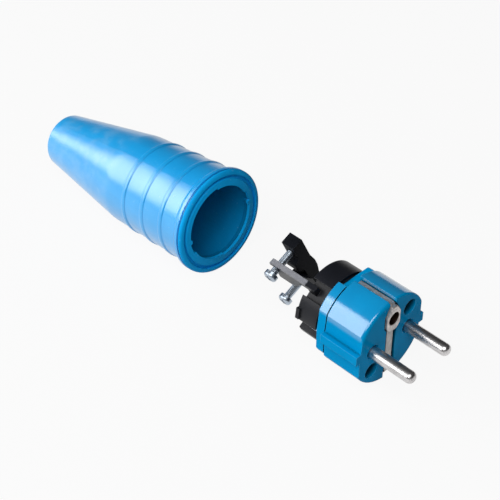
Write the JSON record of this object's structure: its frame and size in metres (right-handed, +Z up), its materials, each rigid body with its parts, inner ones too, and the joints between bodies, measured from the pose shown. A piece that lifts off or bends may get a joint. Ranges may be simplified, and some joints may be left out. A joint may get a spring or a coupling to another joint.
{
  "type": "rubber electric plug",
  "caption": "Earthed mains plug for wiring by hand, taken apart: a ringed rubber hood lies behind a round contact insert with round pins, an earth strip and a cord clamp.",
  "frame": {"origin": "middle of the whole part's footprint, on the bench", "axes": "+X along the insert's axis, towards the pin tips; +Y along the row of the two pins; +Z up, towards the earth socket"},
  "size_m": [0.202, 0.0442, 0.0443],
  "materials": {
    "hood_rubber": "satin moulded rubber",
    "front_plastic": "satin moulded plastic",
    "black_plastic": "matte moulded plastic",
    "nickel": "nickel plated",
    "zinc_steel": "bright zinc plated",
    "brass": "plain brass"
  },
  "bodies": {
    "root": {"hood": "hood_rubber", "front_cover": "front_plastic", "pin_carrier": "front_plastic", "rear_body": "black_plastic", "cord_saddle": "black_plastic", "clamp_screw_upper": "zinc_steel", "clamp_screw_lower": "zinc_steel", "pin_left": "nickel", "pin_right": "nickel", "terminal_screw_left": "zinc_steel", "terminal_screw_right": "zinc_steel", "earth_bracket": "nickel", "earth_sleeve": "brass", "earth_terminal": "brass", "earth_terminal_screw": "zinc_steel", "cover_screw_upper": "zinc_steel", "cover_screw_lower": "zinc_steel"}
  },
  "joints": []
}
